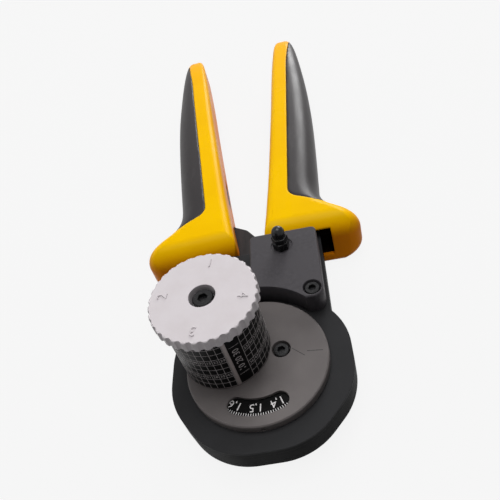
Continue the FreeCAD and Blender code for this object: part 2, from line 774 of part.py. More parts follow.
def spring_height():
    return MOVING_BOTTOM + RUN_CLEARANCE + SPRING_WIRE_RADIUS


def spring_leg(angle, clearance=0.0):
    """Straight end of the spring, reaching outwards from the bent part."""
    base = polar(SPRING_COIL_RADIUS, angle, PIVOT)
    along = polar(1.0, angle)
    return Part.makeCylinder(SPRING_WIRE_RADIUS + clearance, SPRING_LEG_LENGTH + clearance,
                             vector(base[0], base[1], spring_height()), vector(along[0], along[1]))


def spring_pocket():
    """Ring-shaped pocket for the spring, a gap for its fixed end and a slot for the other."""
    top = MOVING_BOTTOM + 2 * SPRING_WIRE_RADIUS + 2 * RUN_CLEARANCE
    outer = SPRING_COIL_RADIUS + SPRING_WIRE_RADIUS + FREE_CLEARANCE
    pocket = tube(outer, SPRING_POCKET_WALL, MOVING_BOTTOM, top, PIVOT)
    half = math.degrees((SPRING_WIRE_RADIUS + FREE_CLEARANCE) / SPRING_COIL_RADIUS)
    gap = wedge(PIVOT, HUB_RADIUS + 1, SPRING_FIXED_ANGLE - half,
                SPRING_FIXED_ANGLE + LEVER_TRAVEL + half, MOVING_BOTTOM, top)
    gap = gap.cut(rod(SPRING_COIL_RADIUS, MOVING_BOTTOM, top, PIVOT))
    slot = box(SPRING_COIL_RADIUS, SPRING_COIL_RADIUS + SPRING_LEG_LENGTH,
               -SPRING_WIRE_RADIUS, SPRING_WIRE_RADIUS, MOVING_BOTTOM, top)
    slot = rotated(slot, SPRING_LEVER_ANGLE)
    slot.translate(vector(PIVOT_X, PIVOT_Y))
    return [pocket, gap, slot]


def return_spring():
    centre = vector(PIVOT_X, PIVOT_Y, spring_height())
    sweep = SPRING_FIXED_ANGLE + 360 - SPRING_LEVER_ANGLE
    bend = Part.makeTorus(SPRING_COIL_RADIUS, SPRING_WIRE_RADIUS, centre, vector(0, 0, 1), 0, 360, sweep)
    bend.rotate(centre, vector(0, 0, 1), SPRING_LEVER_ANGLE)
    pieces = [bend]
    for angle in (SPRING_FIXED_ANGLE, SPRING_LEVER_ANGLE):
        corner = polar(SPRING_COIL_RADIUS, angle, PIVOT)
        pieces.append(Part.makeSphere(SPRING_WIRE_RADIUS, vector(corner[0], corner[1], spring_height())))
        pieces.append(spring_leg(angle))
    return joined(pieces)


def pivot_sleeve():
    return tube(PIVOT_SLEEVE_RADIUS, STUD_RADIUS, LAYER, FRONT, PIVOT)


def pawl():
    length = PAWL_DISTANCE - RATCHET_RADIUS - CAM_CLEARANCE
    nose = outline([
        (0, -PAWL_HUB_RADIUS, 0),
        (length * 0.45, -PAWL_HUB_RADIUS * 0.7, 0),
        (length, -0.15, 0),
        (length, 0.15, 0),
        (length * 0.45, PAWL_HUB_RADIUS * 0.7, 0),
        (0, PAWL_HUB_RADIUS, 0),
    ])
    body = joined([
        slab(nose, MOVING_BOTTOM, MOVING_TOP),
        rod(PAWL_HUB_RADIUS, MOVING_BOTTOM, MOVING_TOP),
    ])
    body = body.common(rod(length, MOVING_BOTTOM, MOVING_TOP))
    body = body.cut(rod(PAWL_PIN_RADIUS + RUN_CLEARANCE, MOVING_BOTTOM, MOVING_TOP))
    body = rotated(body, PAWL_ANGLE - 180)
    body.translate(vector(PAWL[0], PAWL[1]))
    return body


def pawl_pin():
    return rod(PAWL_PIN_RADIUS, BACK, FRONT + PLATE_THICK / 2, PAWL)


# Front disc and depth ring

def window_tool(bottom, top):
    """Kidney-shaped window: an arc of the disc's middle with round ends."""
    outer = WINDOW_RADIUS + WINDOW_HALF_WIDTH
    inner = WINDOW_RADIUS - WINDOW_HALF_WIDTH
    band = tube(outer, inner, bottom, top)
    reach = 2 * outer
    left = polar(reach, -90 - WINDOW_SPREAD)
    right = polar(reach, -90 + WINDOW_SPREAD)
    sector = slab(outline([(0, 0, 0), (left[0], left[1], 0), (right[0], right[1], 0)]), bottom, top)
    ends = [rod(WINDOW_HALF_WIDTH, bottom, top, polar(WINDOW_RADIUS, -90 + side * WINDOW_SPREAD))
            for side in (-1, 1)]
    return joined([band.common(sector)] + ends)


def tommy_hole(radius, start, end):
    """Radial hole at the height of the depth ring's middle."""
    base = polar(start, TOMMY_ANGLE)
    along = polar(1.0, TOMMY_ANGLE)
    height = FACE + RING_POCKET_DEPTH / 2
    return Part.makeCylinder(radius, end - start, vector(base[0], base[1], height),
                             vector(along[0], along[1]))


def front_disc():
    disc = rod(DISC_RADIUS, FACE, DISC_TOP)
    rim = [edge for edge in disc.Edges if edge.BoundBox.ZMin > DISC_TOP - 1e-6]
    disc = disc.makeChamfer(0.4, rim)
    pocket = tube(DEPTH_RING_OUTER + RUN_CLEARANCE, DEPTH_RING_INNER - RUN_CLEARANCE,
                  FACE, FACE + RING_POCKET_DEPTH)
    ball = polar(INDEX_RADIUS, INDEX_ANGLE, TURRET)
    return disc.cut([
        pocket,
        window_tool(FACE, DISC_TOP),
        tommy_hole(TOMMY_RADIUS + TOMMY_PORT_CLEARANCE, DEPTH_RING_OUTER - 1, DISC_RADIUS + 1),
        rod(PASSAGE_RADIUS, FACE, DISC_TOP),
        rod(SCREW_RADIUS, FACE, DISC_TOP, DISC_SCREW),
        rod(COUNTERBORE_RADIUS, DISC_SCREW_SEAT, DISC_TOP, DISC_SCREW),
        rod(TURRET_SCREW_RADIUS, FACE, DISC_TOP, TURRET),
        rod(INDEX_BALL_RADIUS + RUN_CLEARANCE, FACE + INDEX_SEAT, DISC_TOP, ball),
    ])


def depth_ring():
    bottom = FACE + (RING_POCKET_DEPTH - DEPTH_RING_THICK) / 2
    top = bottom + DEPTH_RING_THICK
    ring = tube(DEPTH_RING_OUTER, DEPTH_RING_INNER, bottom, top)
    hole = tommy_hole(TOMMY_RADIUS, DEPTH_RING_OUTER - TOMMY_DEPTH, DEPTH_RING_OUTER + 1)
    return ring.cut(around(hole, TOMMY_HOLES))


# Turret

def turret_barrel():
    barrel = rod(BARREL_RADIUS, BARREL_BOTTOM, BARREL_TOP, TURRET)
    crimp_angle = math.degrees(math.atan2(-TURRET_Y, -TURRET_X))
    crimp_radius = math.hypot(TURRET_X, TURRET_Y)
    tools = [
        rod(POST_RADIUS + RUN_CLEARANCE, BARREL_BOTTOM, BARREL_TOP, TURRET),
        rod(SPRING_SEAT_RADIUS, SPRING_SEAT, BARREL_TOP, TURRET),
    ]
    step = 360.0 / LOCATOR_POSITIONS
    for i in range(LOCATOR_POSITIONS):
        place = polar(crimp_radius, crimp_angle + step * i, TURRET)
        depth = LOCATOR_FIRST_DEPTH + LOCATOR_STEP * i
        tools.append(rod(LOCATOR_RADIUS, BARREL_BOTTOM, BARREL_BOTTOM + depth, place))
        dimple = polar(INDEX_RADIUS, INDEX_ANGLE + step * i, TURRET)
        tools.append(cone(INDEX_BALL_RADIUS, 0.3, BARREL_BOTTOM, BARREL_BOTTOM + 1.9, dimple))
    track_depth = INDEX_RISE + CAM_CLEARANCE
    track_half = INDEX_BALL_RADIUS + CAM_CLEARANCE
    tools.append(tube(INDEX_RADIUS + track_half, INDEX_RADIUS - track_half,
                      BARREL_BOTTOM, BARREL_BOTTOM + track_depth, TURRET))
    tools += knob_pin_rods()
    return barrel.cut(tools)


def knob_pin_rods():
    pin = rod(KNOB_PIN_RADIUS, BARREL_TOP - KNOB_PIN_LENGTH / 2, BARREL_TOP + KNOB_PIN_LENGTH / 2,
              polar(KNOB_PIN_CIRCLE, 0, TURRET))
    return around(pin, KNOB_PIN_COUNT, TURRET)


def turret_knob():
    knob = rod(KNOB_RADIUS, BARREL_TOP, KNOB_TOP, TURRET)
    knob = knob.makeFillet(0.5, [edge for edge in knob.Edges if edge.BoundBox.ZMin > KNOB_TOP - 1e-6])
    centre = polar(KNOB_RADIUS + SCALLOP_RADIUS - SCALLOP_DEPTH, 0, TURRET)
    scallop = rod(SCALLOP_RADIUS, BARREL_TOP, KNOB_TOP, centre)
    hole = rod(KNOB_HOLE_RADIUS, BARREL_TOP, KNOB_TOP, TURRET)
    return knob.cut(around(scallop, KNOB_SCALLOPS, TURRET) + [hole] + knob_pin_rods())


def turret_label():
    outer = BARREL_RADIUS + LABEL_THICK
    sleeve = tube(outer, BARREL_RADIUS, BARREL_BOTTOM + LABEL_MARGIN, BARREL_TOP - LABEL_MARGIN, TURRET)
    gap = box(0, outer + 1, -LABEL_GAP / 2, LABEL_GAP / 2, BARREL_BOTTOM, BARREL_TOP)
    gap = rotated(gap, LABEL_GAP_ANGLE)
    gap.translate(vector(TURRET_X, TURRET_Y))
    return sleeve.cut(gap)


def turret_post():
    return tube(POST_RADIUS, TURRET_SCREW_RADIUS, DISC_TOP, POST_TOP, TURRET)


def turret_washer():
    return tube(WASHER_RADIUS, TURRET_SCREW_RADIUS, POST_TOP, POST_TOP + WASHER_THICK, TURRET)


def turret_screw():
    return cap_screw(POST_TOP + WASHER_THICK, FRONT, TURRET, TURRET_SCREW_RADIUS,
                     TURRET_HEAD_RADIUS, TURRET_HEAD_HEIGHT, TURRET_KEY)


def cone_washer(inner, outer, thick, rise, bottom, upwards, centre):
    """Conical spring washer whose inner edge stands above its outer edge, or below it."""
    inner_base = bottom + rise if upwards else bottom
    outer_base = bottom if upwards else bottom + rise
    return turned([(inner, inner_base), (outer, outer_base),
                   (outer, outer_base + thick), (inner, inner_base + thick)], centre)


def turret_spring():
    pitch = CONE_WASHER_THICK + CONE_WASHER_RISE
    washers = []
    for i in range(CONE_WASHERS):
        washers.append(cone_washer(POST_RADIUS + RUN_CLEARANCE, SPRING_SEAT_RADIUS - RUN_CLEARANCE,
                                   CONE_WASHER_THICK, CONE_WASHER_RISE, POST_TOP - pitch * (i + 1),
                                   i % 2 == 0, TURRET))
    return Part.makeCompound(washers)


def index_spring():
    place = polar(INDEX_RADIUS, INDEX_ANGLE, TURRET)
    room = INDEX_RISE + TURRET_GAP + DISC_THICK - INDEX_SEAT - 2 * INDEX_BALL_RADIUS
    return cone_washer(INDEX_BALL_RADIUS * 0.5, INDEX_BALL_RADIUS, 0.3, room - 0.3,
                       FACE + INDEX_SEAT, True, place)


def index_ball():
    place = polar(INDEX_RADIUS, INDEX_ANGLE, TURRET)
    centre = BARREL_BOTTOM + INDEX_RISE - INDEX_BALL_RADIUS
    return Part.makeSphere(INDEX_BALL_RADIUS, vector(place[0], place[1], centre))


# Block over the neck

def pivot_block():
    plan = outline([
        (BLOCK_RIGHT, NECK_TOP, BLOCK_CORNER),
        (BLOCK_LEFT, NECK_TOP, BLOCK_CORNER),
        (BLOCK_LEFT, BLOCK_LOBE_BOTTOM, 0),
        (BLOCK_RIGHT, BLOCK_LOBE_BOTTOM, BLOCK_LOBE_CORNER),
    ])
    block = slab(plan, FACE, BLOCK_TOP)
    top_edges = [edge for edge in block.Edges if edge.BoundBox.ZMin > BLOCK_TOP - 1e-6
                 and edge.BoundBox.YMax > BLOCK_LOBE_BOTTOM + 1]
    block = block.makeChamfer(BLOCK_EDGE, top_edges)
    return block.cut([
        rod(BLOCK_ARC_RADIUS, FACE, BLOCK_TOP),
        rod(SCREW_RADIUS, FACE, BLOCK_TOP, BLOCK_SCREW),
        rod(COUNTERBORE_RADIUS, BLOCK_SCREW_SEAT, BLOCK_TOP, BLOCK_SCREW),
        rod(STUD_RADIUS, FACE, BLOCK_TOP, PIVOT),
        rod(STUD_SEAT_RADIUS, STUD_SEAT, BLOCK_TOP, PIVOT),
    ])


# Grips

def grip_section(station, inset):
    """Rounded cross-section of a grip at one station, as a closed wire."""
    y, inner, outer, bottom, top = station
    left = inner + inset
    right = outer - inset
    low = bottom + inset
    high = top - inset
    smaller = min(high - low, right - left)
    flat = outline([
        (left, low, smaller * GRIP_INNER_ROUND),
        (right, low, smaller * GRIP_LOWER_ROUND),
        (right, high, smaller * GRIP_UPPER_ROUND),
        (left, high, smaller * GRIP_INNER_ROUND),
    ])
    flat.rotate(vector(0, 0), vector(1, 0, 0), 90)
    flat.translate(vector(0, y))
    return flat


def grip_side_view():
    """Solid as wide as both grips with the side view's round front edges."""
    front, _, outer, bottom, top = GRIP_STATIONS[0]
    end = GRIP_STATIONS[-1][0] + 1
    profile = outline([
        (front, bottom - 1, GRIP_FRONT_LOWER + 1),
        (front, top, GRIP_FRONT_UPPER),
        (end, top, 0),
        (end, bottom - 1, 0),
    ])
    side = slab(profile, 0, 2 * outer)
    side.rotate(vector(0, 0), vector(1, 1, 1), 120)
    return side


def grip_form(inset=0.0):
    sections = [grip_section(station, inset) for station in GRIP_STATIONS
                if station[2] - station[1] > 4 * inset]
    form = Part.makeLoft(sections, True, False)
    if inset > 0:
        return form
    return form.common(grip_side_view())


def inlay_region():
    far = 2 * GRIP_STATIONS[0][2]
    plan = outline([
        (INLAY_EDGE_FOOT, INLAY_FOOT, INLAY_CORNER),
        (INLAY_LOW_X, INLAY_LOW_Y, INLAY_CORNER),
        (far, INLAY_BACK, 0),
        (far, INLAY_POINT, 0),
        (GRIP_STATIONS[-1][2] + 1.0, INLAY_POINT, 0),
        (INLAY_EDGE_HEAD, INLAY_HEAD, 40.0),
    ])
    return slab(plan, -far, far)


def grip_pair():
    """Outer sleeve and soft inlay of the right-hand grip, still without the tang's hole."""
    form = grip_form()
    inlay = form.common(inlay_region()).cut(grip_form(INLAY_THICK))
    return form.cut(inlay), inlay


def moving(shape):
    """The left-hand grip is the right-hand one mirrored, shifted and leaned out further."""
    foot = GRIP_STATIONS[0][0]
    across, along = MOVING_GRIP_SHIFT
    copy = shape.mirror(vector(0, 0, 0), vector(1, 0, 0))
    copy.translate(vector(across, along))
    return rotated(copy, MOVING_GRIP_LEAN, (across, foot))


def fixed_grip(sleeve, tang):
    foot = GRIP_STATIONS[0][0]
    socket = box(TANG_ROOT_LEFT - 1.0, SOCKET_RIGHT, foot - 1, foot + SOCKET_DEPTH,
                 SOCKET_BOTTOM, SOCKET_TOP)
    relief = box(0, TANG_ROOT_LEFT + 2.5, foot - 1, foot + SOCKET_DEPTH + 3,
                 SOCKET_BOTTOM, FRONT + 0.5)
    return sleeve.cut([socket, relief] + tang)


def save(node, shape):
    solids = shape.Solids
    valid = all(solid.isValid() for solid in solids)
    volume = sum(solid.Volume for solid in solids)
    print(node, len(solids), "solid(s)", round(volume, 1), "mm3", "" if valid else "INVALID")
    result = solids[0] if len(solids) == 1 else Part.makeCompound(solids)
    result.exportStep("parts/" + node + ".step")


def main():
    os.makedirs("parts", exist_ok=True)
    front = front_plate()
    spacer = head_spacer()
    lever = lever_plate()
    sleeve, inlay = grip_pair()
    save("front_plate", front)
    save("back_plate", back_plate())
    save("head_spacer", spacer)
    save("back_cover", back_cover())
    save("cover_screws", sunk_screws(0, LAYER, cover_screw_places()))
    save("plate_screws", sunk_screws(BACK, FACE - BLIND_SKIN, plate_screw_places()))
    save("neck_dowels", neck_dowels())
    save("die_guide", die_guide())
    save("cam_ring", cam_ring())
    for i, angle in enumerate(indenter_angles()):
        save("indenter_" + str(i + 1), indenter(angle))
    save("lever_plate", lever)
    save("return_spring", return_spring())
    save("pivot_sleeve", pivot_sleeve())
    save("pivot_stud", pivot_stud())
    save("lock_nut", lock_nut())
    save("cap_nut", cap_nut())
    save("pawl", pawl())
    save("pawl_pin", pawl_pin())
    save("pivot_block", pivot_block())
    save("block_screw", cap_screw(BLOCK_SCREW_SEAT, LAYER, BLOCK_SCREW))
    save("front_disc", front_disc())
    save("disc_screw", cap_screw(DISC_SCREW_SEAT, FRONT, DISC_SCREW))
    save("depth_ring", depth_ring())
    save("turret_barrel", turret_barrel())
    save("turret_label", turret_label())
    save("turret_knob", turret_knob())
    save("knob_pins", Part.makeCompound(knob_pin_rods()))
    save("turret_post", turret_post())
    save("turret_washer", turret_washer())
    save("turret_screw", turret_screw())
    save("turret_spring", turret_spring())
    save("index_ball", index_ball())
    save("index_spring", index_spring())
    save("fixed_grip", fixed_grip(sleeve, [front, spacer]))
    save("fixed_grip_inlay", inlay.cut([front, spacer]))
    save("moving_grip", moving(sleeve).cut(lever))
    save("moving_grip_inlay", moving(inlay).cut(lever))
    print("cam ring travel", round(RING_TRAVEL, 4), "degrees")
    print("pawl at", [round(value, 4) for value in PAWL])


main()
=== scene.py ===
# %% [markdown]
# A four-indent hand crimping tool
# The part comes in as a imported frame: every metal and plastic piece is already at its real size and
# place. This lesson gives those pieces their finish, adds the printing and the raised numbers, and
# sets up a plain studio with the camera of the photograph.

# %% Load the frame
import json
import math
import bmesh
import bpy
from mathutils import Matrix, Vector


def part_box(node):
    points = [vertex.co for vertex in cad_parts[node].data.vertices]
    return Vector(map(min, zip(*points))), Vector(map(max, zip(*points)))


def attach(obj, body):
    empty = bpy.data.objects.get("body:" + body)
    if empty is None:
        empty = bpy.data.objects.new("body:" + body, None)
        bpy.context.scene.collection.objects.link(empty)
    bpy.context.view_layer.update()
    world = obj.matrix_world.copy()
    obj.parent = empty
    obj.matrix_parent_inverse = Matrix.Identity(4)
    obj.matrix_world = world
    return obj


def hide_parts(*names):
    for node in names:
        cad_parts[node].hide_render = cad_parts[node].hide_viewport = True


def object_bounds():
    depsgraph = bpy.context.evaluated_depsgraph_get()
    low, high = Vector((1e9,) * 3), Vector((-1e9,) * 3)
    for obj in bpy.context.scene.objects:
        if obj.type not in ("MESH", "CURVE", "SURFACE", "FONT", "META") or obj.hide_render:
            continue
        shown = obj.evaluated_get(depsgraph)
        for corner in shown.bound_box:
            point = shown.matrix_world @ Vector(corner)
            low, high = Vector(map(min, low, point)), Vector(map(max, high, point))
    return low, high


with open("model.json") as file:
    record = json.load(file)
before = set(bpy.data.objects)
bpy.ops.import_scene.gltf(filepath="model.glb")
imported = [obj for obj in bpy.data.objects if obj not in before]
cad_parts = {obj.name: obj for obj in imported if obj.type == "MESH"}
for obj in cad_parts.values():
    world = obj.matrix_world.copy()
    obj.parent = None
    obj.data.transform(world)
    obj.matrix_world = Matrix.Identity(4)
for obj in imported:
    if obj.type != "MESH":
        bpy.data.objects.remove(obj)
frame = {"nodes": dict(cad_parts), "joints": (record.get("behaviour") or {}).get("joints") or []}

cad_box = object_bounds()
nodes = frame["nodes"]
MM = 0.001
QUARTER = math.pi / 2
print("loaded", len(nodes), "nodes")

# %% [markdown]
# The camera
# The photograph was taken from the front left, looking down steeply, with the camera tilted to one
# side. Place and angles were found by matching the round disc and the round knob. A camera can be
# aimed at a target, but then its tilt is hard to read, so it is written here as a place, three
# angles and a focal length.

# %% Camera
CAMERA_PLACE = Vector((33.5, -106.4, 174.5)) * MM
CAMERA_AZIMUTH = math.radians(12.5)
CAMERA_ELEVATION = math.radians(44.7)
CAMERA_ROLL = math.radians(-18.97)
CAMERA_LENS = 41.68
SENSOR_WIDTH = 36.0
CLIP_NEAR, CLIP_FAR = 0.001, 20


def camera_matrix(place, azimuth, elevation, roll):
    """World matrix of a camera that looks down along the given directions."""
    forward = Vector((-math.sin(azimuth) * math.cos(elevation),
                      math.cos(azimuth) * math.cos(elevation),
                      -math.sin(elevation)))
    level = Vector((math.cos(azimuth), math.sin(azimuth), 0))
    upright = level.cross(forward)
    right = level * math.cos(roll) + upright * math.sin(roll)
    up = upright * math.cos(roll) - level * math.sin(roll)
    turn = Matrix((right, up, -forward)).transposed()
    return Matrix.Translation(place) @ turn.to_4x4()


camera_data = bpy.data.cameras.new("photo_camera")
camera_data.lens = CAMERA_LENS
camera_data.sensor_width = SENSOR_WIDTH
camera_data.clip_start = CLIP_NEAR
camera_data.clip_end = CLIP_FAR
camera = bpy.data.objects.new("photo_camera", camera_data)
camera.matrix_world = camera_matrix(CAMERA_PLACE, CAMERA_AZIMUTH, CAMERA_ELEVATION, CAMERA_ROLL)
bpy.context.collection.objects.link(camera)
bpy.context.scene.camera = camera
print("camera at", [round(v, 4) for v in camera.location])

# %% [markdown]
# The white background
# The tool lies on white. More light would make a floor white, but it would bleach the tool as well.
# So the world and a part of the floor's colour are white only for rays that look at them, and the
# light that they give the tool is set by itself. The rest of the floor still takes the shadow.

# %% World
SKY_LIGHT = 0.16
WHITE = (1, 1, 1, 1)


def seen_directly(tree):
    """1 for camera, glossy and transmission rays, and 0 for all others."""
    rays = tree.nodes.new("ShaderNodeLightPath")
    seen = rays.outputs["Is Camera Ray"]
    for kind in ("Is Glossy Ray", "Is Transmission Ray"):
        either = tree.nodes.new("ShaderNodeMath")
        either.operation = "MAXIMUM"
        tree.links.new(seen, either.inputs[0])
        tree.links.new(rays.outputs[kind], either.inputs[1])
        seen = either.outputs[0]
    return seen


def make_world():
    world = bpy.data.worlds.new("studio")
    world.use_nodes = True
    tree = world.node_tree
    tree.nodes.clear()
    light = tree.nodes.new("ShaderNodeBackground")
    light.inputs["Strength"].default_value = SKY_LIGHT
    backdrop = tree.nodes.new("ShaderNodeBackground")
    backdrop.inputs["Strength"].default_value = 1.0
    for shader in (light, backdrop):
        shader.inputs["Color"].default_value = WHITE
    mix = tree.nodes.new("ShaderNodeMixShader")
    out = tree.nodes.new("ShaderNodeOutputWorld")
    tree.links.new(seen_directly(tree), mix.inputs[0])
    tree.links.new(light.outputs[0], mix.inputs[1])
    tree.links.new(backdrop.outputs[0], mix.inputs[2])
    tree.links.new(mix.outputs[0], out.inputs["Surface"])
    bpy.context.scene.world = world


make_world()
print("world light", SKY_LIGHT)

# %% Floor
FLOOR_SIZE = 12.0
FLOOR_GLOW = 0.88
FLOOR_PAINT = (0.35, 0.35, 0.35)
FLOOR_HEIGHT = cad_box[0][2]


def floor_paint():
    """Paint that takes a shadow, mixed with a glow that only looking rays see."""
    paint = bpy.data.materials.new("floor_paint")
    paint.use_nodes = True
    tree = paint.node_tree
    tree.nodes.clear()
    diffuse = tree.nodes.new("ShaderNodeBsdfDiffuse")
    diffuse.inputs["Color"].default_value = (*FLOOR_PAINT, 1)
    glow = tree.nodes.new("ShaderNodeEmission")
    glow.inputs["Strength"].default_value = 1.0
    share = tree.nodes.new("ShaderNodeMath")
    share.operation = "MULTIPLY"
    share.inputs[1].default_value = FLOOR_GLOW
    mix = tree.nodes.new("ShaderNodeMixShader")
    out = tree.nodes.new("ShaderNodeOutputMaterial")
    tree.links.new(seen_directly(tree), share.inputs[0])
    tree.links.new(share.outputs[0], mix.inputs[0])
    tree.links.new(diffuse.outputs[0], mix.inputs[1])
    tree.links.new(glow.outputs[0], mix.inputs[2])
    tree.links.new(mix.outputs[0], out.inputs["Surface"])
    return paint


def make_floor():
    shape = bmesh.new()
    bmesh.ops.create_grid(shape, x_segments=1, y_segments=1, size=FLOOR_SIZE / 2)
    bmesh.ops.translate(shape, verts=shape.verts, vec=(0, 0, FLOOR_HEIGHT))
    mesh = bpy.data.meshes.new("floor")
    shape.to_mesh(mesh)
    shape.free()
    mesh.materials.append(floor_paint())
    floor = bpy.data.objects.new("floor", mesh)
    bpy.context.collection.objects.link(floor)


make_floor()
print("floor at", round(FLOOR_HEIGHT / MM, 3), "mm")

# %% [markdown]
# The lamps
# In the photograph the tops are bright and the walls that face the camera are dark. One lamp beside
# the camera would flatten that. So the main lamp hangs almost straight above the tool, a low one far
# behind the handles gives the black parts their sheen, and a weak one lifts the left side.

# %% Lamps


def make_lamp(name, place, target, size, power):
    data = bpy.data.lights.new(name, "AREA")
    data.shape = "SQUARE"
    data.size = size
    data.energy = power
    lamp = bpy.data.objects.new(name, data)
    lamp.location = place
    lamp.rotation_euler = (Vector(target) - Vector(place)).to_track_quat("-Z", "Y").to_euler()
    bpy.context.collection.objects.link(lamp)


make_lamp("main_lamp", place=(0.05, 0.16, 1.10), target=(0, 0.06, 0), size=0.7, power=8.6)
make_lamp("low_lamp", place=(0.35, 1.15, 0.45), target=(0, 0.12, 0), size=0.5, power=9.0)
make_lamp("left_lamp", place=(-0.85, 0.05, 0.6), target=(0, 0.05, 0), size=0.6, power=1.2)
bpy.context.scene.view_settings.view_transform = "Standard"
print("lamps:", len(bpy.data.lights))

# %% [markdown]
# A small set of tools for the finishes
# Every finish here is a Principled shader whose colour, roughness and bump come from noise on Object
# coordinates, so nothing has to be unwrapped. Objects are in metres: a noise scale of 1000 has one
# wave a millimetre. The helpers below keep each finish down to a few lines.

# %% Material helpers


class Finish:
    """A Principled material and the few node steps that its patterns need."""

    def __init__(self, name, colour, roughness=0.5, metallic=0.0, specular=0.5):
        self.material = bpy.data.materials.new(name)
        self.material.use_nodes = True
        self.tree = self.material.node_tree
        self.shader = self.tree.nodes["Principled BSDF"]
        self.shader.inputs["Base Color"].default_value = (*colour, 1)
        self.shader.inputs["Roughness"].default_value = roughness
        self.shader.inputs["Metallic"].default_value = metallic
        self.shader.inputs["Specular IOR Level"].default_value = specular
        self.place = self.tree.nodes.new("ShaderNodeTexCoord").outputs["Object"]

    def link(self, source, target):
        self.tree.links.new(source, target)

    def stretched(self, scale):
        """Object coordinates, scaled along each axis."""
        mapping = self.tree.nodes.new("ShaderNodeMapping")
        mapping.inputs["Scale"].default_value = scale
        self.link(self.place, mapping.inputs["Vector"])
        return mapping.outputs["Vector"]

    def axes(self):
        """The three Object coordinates, in metres."""
        parts = self.tree.nodes.new("ShaderNodeSeparateXYZ")
        self.link(self.place, parts.inputs[0])
        return parts.outputs

    def height(self):
        return self.axes()["Z"]

    def inside(self, low, high):
        """1 inside the box given in millimetres, 0 outside."""
        result = 1.0
        for place, start, end in zip(self.axes(), low, high):
            above = self.calculate("GREATER_THAN", place, start * MM)
            below = self.calculate("LESS_THAN", place, end * MM)
            both = self.calculate("MULTIPLY", above, below)
            result = self.calculate("MULTIPLY", result, both)
        return result

    def noise(self, scale, detail, rough=0.5, where=None):
        node = self.tree.nodes.new("ShaderNodeTexNoise")
        node.inputs["Scale"].default_value = scale
        node.inputs["Detail"].default_value = detail
        node.inputs["Roughness"].default_value = rough
        self.link(where or self.place, node.inputs["Vector"])
        return node.outputs["Fac"]

    def spread(self, value, low, high, out_low=0.0, out_high=1.0):
        """Maps low to high onto the two outer values, and holds them beyond."""
        node = self.tree.nodes.new("ShaderNodeMapRange")
        node.inputs["From Min"].default_value = low
        node.inputs["From Max"].default_value = high
        node.inputs["To Min"].default_value = out_low
        node.inputs["To Max"].default_value = out_high
        self.link(value, node.inputs["Value"])
        return node.outputs["Result"]

    def calculate(self, operation, first, second):
        node = self.tree.nodes.new("ShaderNodeMath")
        node.operation = operation
        for socket, value in zip(node.inputs, (first, second)):
            if isinstance(value, (int, float)):
                socket.default_value = value
            else:
                self.link(value, socket)
        return node.outputs[0]

    def blend(self, factor, first, second):
        """Colour between two colours, each given as numbers or as a socket."""
        node = self.tree.nodes.new("ShaderNodeMix")
        node.data_type = "RGBA"
        self.link(factor, node.inputs[0])
        for socket, value in ((node.inputs[6], first), (node.inputs[7], second)):
            if isinstance(value, tuple):
                socket.default_value = (*value, 1)
            else:
                self.link(value, socket)
        return node.outputs[2]

    def patches(self, pattern, low, high, first, second):
        """First colour where the pattern is low, second where it is high."""
        return self.blend(self.spread(pattern, low, high), first, second)

    def colour_from(self, socket):
        self.link(socket, self.shader.inputs["Base Color"])

    def specular_from(self, socket):
        self.link(socket, self.shader.inputs["Specular IOR Level"])

    def uneven_shine(self, pattern, smooth, rough, low=0.3, high=0.7):
        """Roughness between two values, as the pattern goes from low to high."""
        self.link(self.spread(pattern, low, high, smooth, rough), self.shader.inputs["Roughness"])

    def soft_edges(self, radius):
        """Rounds the edges in the shading alone, so the mesh stays as it is."""
        node = self.tree.nodes.new("ShaderNodeBevel")
        node.samples = 6
        node.inputs["Radius"].default_value = radius
        self.link(node.outputs["Normal"], self.shader.inputs["Normal"])

    def bump(self, height, strength, distance):
        """Bump on top of whatever already turns the normal."""
        node = self.tree.nodes.new("ShaderNodeBump")
        node.inputs["Strength"].default_value = strength
        node.inputs["Distance"].default_value = distance
        self.link(height, node.inputs["Height"])
        if self.shader.inputs["Normal"].is_linked:
            self.link(self.shader.inputs["Normal"].links[0].from_socket, node.inputs["Normal"])
        self.link(node.outputs["Normal"], self.shader.inputs["Normal"])


def dress(finish, *names):
    for name in names:
        mesh = nodes[name].data
        mesh.materials.clear()
        mesh.materials.append(finish.material)
    print(finish.material.name, "on", len(names), "nodes")


# %% [markdown]
# Blackened plates
# The head is a stack of plates with a dark, slightly soft coating. One black would look like a hole
# in the picture, so broad noise clouds colour and roughness a little and fine noise gives the
# coating its grain. Nearly all below the front plate's face is a wall in the shade, which the
# photograph shows darker, so the colour drops there by height.

# %% Black coating
# The wall colour is painted shade, laid by height on everything below the front plate's face.
COAT_WALL_PAINTED_SHADE = (0.007, 0.007, 0.0075)
COAT_FACE = (0.014, 0.014, 0.015)
COAT_FACE_PALE = (0.021, 0.021, 0.0225)
WALL_TOP = 12.0 * MM
FACE_FOOT = 12.55 * MM
WALL_SPECULAR, FACE_SPECULAR = 0.02, 0.08

coat = Finish("black_coating", (0.02, 0.02, 0.021), specular=0.03)
cloud = coat.noise(scale=70, detail=4)
# Painted shade: below the front plate's face the colour drops to the darker wall colour.
on_face = coat.spread(coat.height(), WALL_TOP, FACE_FOOT)
face = coat.patches(cloud, 0.3, 0.7, COAT_FACE, COAT_FACE_PALE)
coat.colour_from(coat.blend(on_face, COAT_WALL_PAINTED_SHADE, face))
coat.specular_from(coat.spread(on_face, 0, 1, WALL_SPECULAR, FACE_SPECULAR))
coat.uneven_shine(cloud, 0.40, 0.55)
coat.soft_edges(0.35 * MM)
coat.bump(coat.noise(scale=2600, detail=3), strength=0.25, distance=0.06 * MM)
dress(coat, "front_plate", "back_plate", "head_spacer", "back_cover")

# %% [markdown]
# The front disc
# The disc is satin steel with a warm grey cast. Straight brushing would show as streaks that the
# photograph doesn't have, so it gets a fine even grain with faint darker handling marks.

# %% Disc steel
DISC_MARKED = (0.104, 0.093, 0.092)
DISC_CLEAN = (0.130, 0.117, 0.115)

